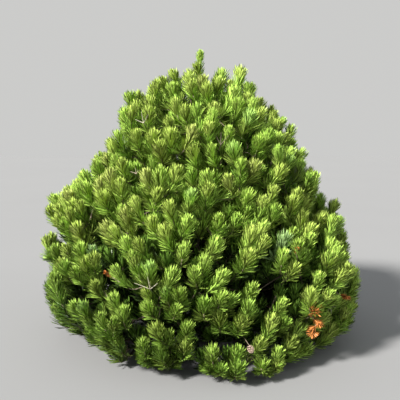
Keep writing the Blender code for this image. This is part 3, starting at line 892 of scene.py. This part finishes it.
def sprayTree():
    # needles along lines: a golden turn each, leaning by the lines' own values
    graph = LineTree("spray_of_needles", {
        "Needle": "Object", **{name: "Float" for name in needles["sizes"]}, "Seed": "Int"})
    given, named = graph.given, graph.named

    def chance(low, high, number):
        return graph.node("FunctionNodeRandomValue", {"data_type": "FLOAT"},
                          {2: low, 3: high, "Seed": given["Seed"] + number}, out=1)

    def rotation(euler):
        return graph.node("FunctionNodeEulerToRotation", {}, {0: euler})

    def turned(first, second):
        settings = {"rotation_space": "LOCAL"}
        return graph.node("FunctionNodeRotateRotation", settings, {0: first, 1: second})

    points = graph.node("GeometryNodeCurveToPoints", {"mode": "LENGTH"},
                        {"Curve": graph.curves, "Length": given["Spacing"]})
    tangent = Wire(graph, points.socket.node.outputs["Tangent"])
    jitter = needles["spinJitter"]
    spin = graph.node("GeometryNodeInputIndex") * goldenTurn + chance(-jitter, jitter, 1)
    lean = named("lean") + named("spread") * chance(-1.0, 1.0, 2)
    along = graph.node("FunctionNodeAlignRotationToVector", {"axis": "Z"}, {"Vector": tangent})
    leant = turned(along, rotation(graph.vector(Y=lean, Z=spin)))
    twist = chance(0.0 - given["Roll Spread"], given["Roll Spread"], 3)
    rolled = turned(leant, rotation(graph.vector(Z=twist)))
    ahead = graph.node("FunctionNodeRotateVector", {}, {"Vector": (0, 0, 1), "Rotation": rolled})
    ahead = graph.node("ShaderNodeVectorMath", {"operation": "ADD"},
                       {0: ahead, 1: graph.vector(Z=given["Lift"])})
    lifted = graph.node("FunctionNodeAlignRotationToVector", {"axis": "Z"},
                        {"Rotation": rolled, "Vector": ahead})
    size = given["Length"] * named("size") * chance(*needles["lengths"], 4)
    broad = given["Width"] * chance(*needles["widths"], 5)
    height = graph.part(graph.node("GeometryNodeInputPosition"), "Z")
    kept = (chance(0.0, 1.0, 6) < named("density")) * (graph.part(ahead, "Z") > given["Lowest"])
    kept = kept * (height > given["Ground"])
    shape = graph.node("GeometryNodeObjectInfo", {}, {"Object": given["Needle"]}, out="Geometry")
    copies = graph.node("GeometryNodeInstanceOnPoints", {}, {
        "Points": points, "Selection": kept, "Instance": shape,
        "Rotation": lifted, "Scale": graph.vector(X=size, Y=broad, Z=size)})
    settings = {"data_type": "FLOAT", "domain": "INSTANCE"}
    return graph.end(graph.node("GeometryNodeStoreNamedAttribute", settings, {
        "Geometry": copies, "Name": "tint", "Value": chance(0.0, 1.0, 7)}))


def zoneLines(wood, shoot):
    # the stretches of one shoot that bear needles: zone, points and values along them
    line = wood.lines[shoot["line"]]
    lengths = lengthsAlong(line)
    shares = np.linspace(0.0, 1.0, needles["steps"])
    for zone, near, far, leanNear, leanFar, spread, density, size in needles["zones"]:
        far = min(far, shoot["clothed"])
        if far - near < needles["shortestZone"]:
            continue
        places = lengths[-1] - near - (far - near) * shares
        points = [pointAt(line, lengths, max(place, 0.0)) for place in places]
        leans = np.radians(leanNear + (leanFar - leanNear) * shares)
        thinning = needles["oldThinning"] * (zone == "old")
        fade = shoot["full"] * density * (1 - thinning * shares)
        sizes = np.full(len(shares), size * shoot["vigour"])
        spreads = np.full(len(shares), math.radians(spread))
        yield zone, points[::-1], leans[::-1], spreads, fade[::-1], sizes


def toneOf(shoot, zone):
    # fresher towards the tips; with painted light and shade, lighter towards the top, darker low
    # down, to one side and further in
    if shoot["tone"]:
        return shoot["tone"]
    height = min(max(shoot["tip"].z / growth["height"], 0.0), 1.0)
    # painted shade: shaded shoots take the darkest tones, lighter ones above the height where light
    # reaches them
    if shoot["shaded"]:
        near, far = ("leaf", "olive") if height > dealing["openAbove"] else ("deep", "dark")
        return near if zone in ("crest", "side") else far
    least, most = dealing["shiftLimits"]
    # painted light and shade, shifting the tones by height and side
    shift = dealing["lowShift"] * (0.5 - height)
    shift += dealing["sideShift"] * shoot["tip"].x * (height - dealing["turnHeight"])
    shift = min(max(shift, least), most)
    place = shoot["lot"] * (1 - abs(shift)) + max(shift, 0.0)
    for tone, share in dealing[zone]:
        place -= share
        if place < 0:
            return tone
    return dealing[zone][-1][0]


def shareOut(sprays):
    # parts each tone's sprays so that no piece passes the most triangles
    for tone, rows in sprays.items():
        if not rows:
            continue
        spacing = needles["sizes"]["Spacing"] * needles["coarser"].get(tone, 1.0)
        weights = np.cumsum([lengthsAlong(row[0])[-1] * float(np.mean(row[3])) for row in rows])
        weights *= needles["triangles"] / spacing
        parts = math.ceil(weights[-1] / needles["mostTriangles"])
        for part in range(parts):
            low, high = (weights[-1] * share / parts for share in (part, part + 1))
            chosen = [row for row, w in zip(rows, weights) if low < w <= high]
            yield f"needles_{tone}_{part + 1}", tone, chosen


def makeNeedles(wood, grown, masses):
    tree, shape = sprayTree(), needleShape()
    sprays = {tone: [] for tone in tones}
    finishes = {tone: needleFinish("needle_" + tone, colour) for tone, colour in tones.items()}
    for shoot in grown:
        for zone, *row in zoneLines(wood, shoot):
            sprays[toneOf(shoot, zone)].append(row)
    total = 0
    firstSeed, seedStep = needles["seeds"]
    for number, (name, tone, rows) in enumerate(shareOut(sprays)):
        lines, leans, spreads, densities, sizes = zip(*rows)
        values = {"lean": leans, "spread": spreads, "density": densities, "size": sizes}
        piece = wireMesh(name, lines, values)
        inputs = dict(needles["sizes"])
        for key in ("Spacing", "Width"):
            inputs[key] *= needles["coarser"].get(tone, 1.0)
        if tone == "rust":
            inputs["Lowest"] = rust["lowest"]
        runTree(piece, tree, {"Needle": shape, "Material": finishes[tone], **inputs,
                              "Seed": firstSeed + seedStep * number})
        total += finishPiece(piece, masses)
    bpy.data.objects.remove(shape)
    print("needles in all:", total, "triangles")


# Twigs and buds, swept along lines

twigs = {
    "thin": 0.0032,
    "swell": 0.37,  # power of the number of shoots that a twig carries
    "paleFor": 0.30,  # metres of pale bark below a shoot's end, young and lit; deeper in, the bark takes painted shade
    "paleAtEnd": 1.2,  # above 1, so that the last few centimetres are pale throughout
    "sides": 5,
    "pale": ((0.38, 0.32, 0.24), (0.19, 0.145, 0.10)),
    # painted shade: bark inside the crown, darker than its own pale grey
    "shadedBark": ((0.075, 0.058, 0.044), (0.035, 0.026, 0.019)),
    "bleached": ((0.50, 0.46, 0.38), (0.26, 0.23, 0.18)),
    "blotch": (22.0, 3.0),  # scale and detail of the grain
    "speck": (240.0, 2.0),
    "roughness": 0.82,
    "bump": (0.4, 0.0015),
}


def twigTree():
    graph = LineTree("twigs", {"Sides": "Int"})
    profile = graph.node("GeometryNodeCurvePrimitiveCircle", {}, {
        "Resolution": graph.given["Sides"], "Radius": 1.0})
    return graph.end(graph.node("GeometryNodeCurveToMesh", {}, {
        "Curve": graph.curves, "Profile Curve": profile, "Scale": graph.named("thick"),
        "Fill Caps": True}))


def sweep(name, lines, values, material, masses):
    piece = wireMesh(name, lines, values)
    runTree(piece, twigTree(), {"Material": material, "Sides": twigs["sides"]})
    finishPiece(piece, masses)


def twigFinish():
    # bark in painted shade, paler where the wood is young and lit, and grey where it is bleached
    finish = Finish("twig_bark", bark["specular"])
    blotch, speck = (finish.grain(*twigs[key]) for key in ("blotch", "speck"))
    young = finish.own("young")
    pale, bleached = (finish.between(blotch, twigs[key]) for key in ("pale", "bleached"))
    mixed = finish.blend(young, finish.between(speck, twigs["shadedBark"]), pale)
    finish.set("Base Color", finish.blend(young - 1.0, mixed, bleached))
    finish.set("Roughness", twigs["roughness"])
    finish.set("Normal", finish.bump(speck, *twigs["bump"]))
    return finish.material


def makeTwigs(wood, grown, masses):
    loads = wood.loads()
    lines, thick, young = [], [], []
    for shoot in grown:
        line = wood.lines[shoot["line"]]
        lengths = lengthsAlong(line)
        lines.append(line)
        thick.append(twigs["thin"] * loads[shoot["line"]] ** twigs["swell"])
        behind = (lengths[-1] - lengths) / twigs["paleFor"]
        # painted shade: no pale bark on shaded shoots, nor deeper in than paleFor
        young.append(np.clip(twigs["paleAtEnd"] - behind, 0.0, 1.0) * (not shoot["shaded"]))
    for line, bleach in bareForks() + [(wood.coneLine, 1.0)]:
        lines.append(line)
        thick.append(np.linspace(*forks["thick"], len(line)))
        young.append(np.full(len(line), bleach))
    sweep("twigs", lines, {"thick": thick, "young": young}, twigFinish(), masses)


buds = {
    "reach": (-0.004, 0.004, 0.011, 0.017, 0.021),  # along a bud, from its shoot's end
    "thick": (0.004, 0.0062, 0.0058, 0.0036, 0.0008),
    "colours": ((0.60, 0.50, 0.38), (0.30, 0.20, 0.13)),
    "grain": 160.0,
    "specular": 0.4,
    "roughness": 0.55,
}


def makeBuds(wood, grown, masses):
    lines, thick = [], []
    for shoot in grown:
        if shoot["shaded"] or shoot["tone"]:
            continue
        end, way = wood.lines[shoot["line"]][-1], shoot["way"]
        lines.append([end + way * reach for reach in buds["reach"]])
        thick.append(np.array(buds["thick"]) * shoot["vigour"])
    finish = Finish("bud_scales", buds["specular"])
    finish.set("Base Color", finish.between(finish.grain(buds["grain"]), buds["colours"]))
    finish.set("Roughness", buds["roughness"])
    sweep("buds", lines, {"thick": thick}, finish.material, masses)


# The old cone on its stem

cone = {
    "depth": 0.095,  # of its foot, below the crown's surface
    "lean": (0.9, -0.35),  # outwards and upwards
    "length": 0.042,
    "radius": 0.013,
    "stem": (0.06, 0.04, 0.03),  # how far back its wood is sought, and its curve's handles
    "scales": 38,
    "scaleLength": 0.017,
    "scaleWidth": 0.010,
    "scaleThick": 0.0018,
    "scaleFoot": 0.35,  # of the radius, where a scale starts
    "outward": (1.0, -0.6),  # how a scale points at the cone's foot, the change to its tip
    "forward": (0.35, 0.6),
    "girth": (0.12, 0.80, 0.7),  # shares of a half wave, and its power
    "grain": (90.0, 3.0),
    "colours": ((0.66, 0.50, 0.41), (0.30, 0.20, 0.15)),
    "innerColours": ((0.07, 0.045, 0.03), (0.03, 0.02, 0.015)),
    "roughness": 0.7,
}


def coneSeat():
    # the cone's foot and the way it points
    away, rise = cone["lean"]
    axis = (level(math.radians(particulars["cone"][0])) * away + up * rise).normalized()
    return spotOn(*particulars["cone"], cone["depth"]), axis


def coneStem(wood, centres):
    # its stem, from the nearest wood
    foot, axis = coneSeat()
    behind, before, after = cone["stem"]
    start = wood.nearest(foot - axis * behind, nearestMass(centres, foot))
    return bezier(start.point, start.point + start.way * after, foot - axis * before, foot, 8)


def makeCone(masses):
    # an old open cone: scales in a golden spiral round its axis, each a thick wedge
    spot, axis = coneSeat()
    side = axis.cross(up).normalized()
    other = axis.cross(side)
    box = ((0, 1, 2, 3), (7, 6, 5, 4), (0, 4, 5, 1), (1, 5, 6, 2), (2, 6, 7, 3), (3, 7, 4, 0))
    first, wave, power = cone["girth"]
    (out, outer), (ahead, further) = cone["outward"], cone["forward"]
    points, faces = [], []
    for k in range(cone["scales"]):
        share = (k + 0.5) / cone["scales"]
        turn = k * goldenTurn
        spoke = math.cos(turn) * side + math.sin(turn) * other
        across = axis.cross(spoke)
        girth = math.sin(math.pi * (first + wave * share)) ** power
        foot = spot + axis * cone["length"] * share
        foot += spoke * cone["radius"] * girth * cone["scaleFoot"]
        way = (spoke * (out + outer * share) + axis * (ahead + further * share)).normalized()
        tip = foot + way * cone["scaleLength"] * girth
        width = cone["scaleWidth"] * girth / 2
        thick = way.cross(across).normalized() * cone["scaleThick"]
        faces += [tuple(len(points) + j for j in face) for face in box]
        for end, half in ((foot, width * 0.5), (tip, width)):
            points += [end - across * half - thick, end + across * half - thick,
                       end + across * half + thick, end - across * half + thick]
    finish = Finish("cone_scales")
    tone, along = finish.grain(*cone["grain"]), finish.own("along")
    rim, root = (finish.between(tone, cone[key]) for key in ("colours", "innerColours"))
    finish.set("Base Color", finish.blend(along * 2.0 - 1.1, root, rim))
    finish.set("Roughness", cone["roughness"])
    alongs = {"along": ([0.0] * 4 + [1.0] * 4) * cone["scales"]}
    finishPiece(newPiece("old_cone", points, faces, finish.material, alongs), masses)


# The trunk and the boughs with their bark

bark = {
    "blotch": (9.0, 4.0),
    "speck": (120.0, 2.0),
    "specks": (0.45, 0.75, 0.5),  # from, to, most
    "gains": (0.62, 1.35),  # colours of the blotches and of the specks
    "specular": 0.25,
    "roughness": (0.78, 0.16),
    "bump": (0.35, 0.002),
    "blotchRise": 0.6,  # of the blotches in the bump, beside the specks
    "furrow": 0.16,  # width between the plates, as a share of their size
    "stretch": 0.6,  # plates are longer than wide
    "swell": (14.0, 0.04),  # waves of the wood under it: scale, height in radii
}


def barkFinish(name, pale, dark, scale):
    finish = Finish(name, bark["specular"])
    blotch, speck = (
        finish.grain(grain * scale, detail) for grain, detail in (bark["blotch"], bark["speck"]))
    blotched, specked = (rgb(pale, gain) for gain in bark["gains"])
    start, stop, most = bark["specks"]
    specks = finish.node("ShaderNodeMapRange", {}, {
        "Value": speck, "From Min": start, "From Max": stop, "To Max": most})
    plate = finish.blend(blotch, rgb(pale), blotched)
    plate = finish.blend(specks, plate, specked)
    finish.set("Base Color", finish.blend(finish.own("crack"), plate, rgb(dark)))
    least, more = bark["roughness"]
    finish.set("Roughness", least + more * speck)
    finish.set("Normal", finish.bump(speck + blotch * bark["blotchRise"], *bark["bump"]))
    return finish.material


def crackAt(point, size):
    # 1 in the furrows between the bark's plates, 0 on them
    cells = noise.voronoi(Vector((point.x, point.y, point.z * bark["stretch"])) / size)[0]
    return math.exp(-(((cells[1] - cells[0]) / bark["furrow"]) ** 2))


def barkTube(line, radii, sides, plate, depth, side):
    # rings of points round a line, cut by the furrows, with each point's furrow value
    scale, most = bark["swell"]
    points, cracks, faces = [], [], []
    for point, way, radius in zip(line, headings(line), radii):
        across = (side - way * side.dot(way)).normalized()
        other = way.cross(across)
        for k in range(sides):
            angle = 2 * math.pi * k / sides
            spoke = math.cos(angle) * across + math.sin(angle) * other
            reach = radius(angle) if callable(radius) else radius
            spot = point + spoke * reach
            furrow = crackAt(spot, plate)
            swell = noise.noise(spot * scale) * most * reach
            points.append(point + spoke * (reach + swell - depth * furrow))
            cracks.append(furrow)
    for ring in range(len(line) - 1):
        low, high = ring * sides, (ring + 1) * sides
        for k in range(sides):
            j = (k + 1) % sides
            faces.append((low + k, low + j, high + j, high + k))
    last = (len(line) - 1) * sides
    faces += [tuple(reversed(range(sides))), tuple(range(last, last + sides))]
    return points, faces, cracks


def slimness(start):
    return 1 - boughs["slimming"] * start / trunk["top"]


def makeTrunk(plan):
    steps = trunk["rings"] - 1
    heights = [trunk["top"] * (k / steps) ** trunk["ringPower"] for k in range(trunk["rings"])]

    def radiusAt(height):
        def reach(angle):
            base = trunkRadius(height, angle) - trunk["inset"]
            for _, azimuth, start, _ in plan:
                turn = (angle - azimuth + math.pi) % (2 * math.pi) - math.pi
                size = boughs["radius"][0] * slimness(start)
                away = math.hypot(turn * base, height - start) / (size * trunk["collarReach"])
                base += trunk["collar"] * size * math.exp(-away * away)
            return base
        return reach

    points, faces, cracks = barkTube(
        [trunkCentre(z) for z in heights], [radiusAt(z) for z in heights],
        trunk["sides"], trunk["plate"], trunk["crack"], Vector((1, 0, 0)))
    for number, point in enumerate(points):
        point.z = min(max(point.z, 0.0), trunk["top"])
        if number < trunk["sides"]:
            point.z = 0.0  # the cut on the ground is flat
    finish = barkFinish("trunk_bark", *trunk["finish"])
    piece = newPiece("trunk_with_bark", points, faces, finish, {"crack": cracks}, smooth=True)
    finishPiece(piece, ["trunk"])


def makeBoughs(wood, plan):
    loads = wood.loads()
    power, share = boughs["taperPower"], boughs["taperShare"]
    points, faces, cracks = [], [], []
    for own in range(1, wood.limbCount):
        line = wood.lines[own]
        slim = slimness(plan[own - 1][2])
        foot, tip = (part * slim for part in boughs["radius"])
        lengths = lengthsAlong(line)
        shares = lengths / lengths[-1]
        radii = [foot + (tip - foot) * min(s / share, 1.0) ** power for s in shares]
        ends = np.maximum(twigs["thin"] * loads[own] ** twigs["swell"], boughs["thinnest"])
        radii = [min(r, e) if s > share else r for r, e, s in zip(radii, ends, shares)]
        made = barkTube(line, radii, boughs["sides"], boughs["plate"], boughs["crack"] * slim,
                        leftOf(headings(line)[0]).normalized())
        first = len(points)
        points += made[0]
        faces += [tuple(first + k for k in face) for face in made[1]]
        cracks += made[2]
    finish = barkFinish("bough_bark", *boughs["finish"])
    piece = newPiece("boughs_with_bark", points, faces, finish, {"crack": cracks}, smooth=True)
    finishPiece(piece, ["bough_" + name for name, *_ in plan])


makeStudio()
plan = boughPlan()
masses = ["foliage_" + name for name, *_ in plan] + ["foliage_leader"]
wood, grown = growWood(plan)
makeTrunk(plan)
makeBoughs(wood, plan)
makeTwigs(wood, grown, masses)
makeBuds(wood, grown, masses)
makeCone(masses)
makeNeedles(wood, grown, masses)
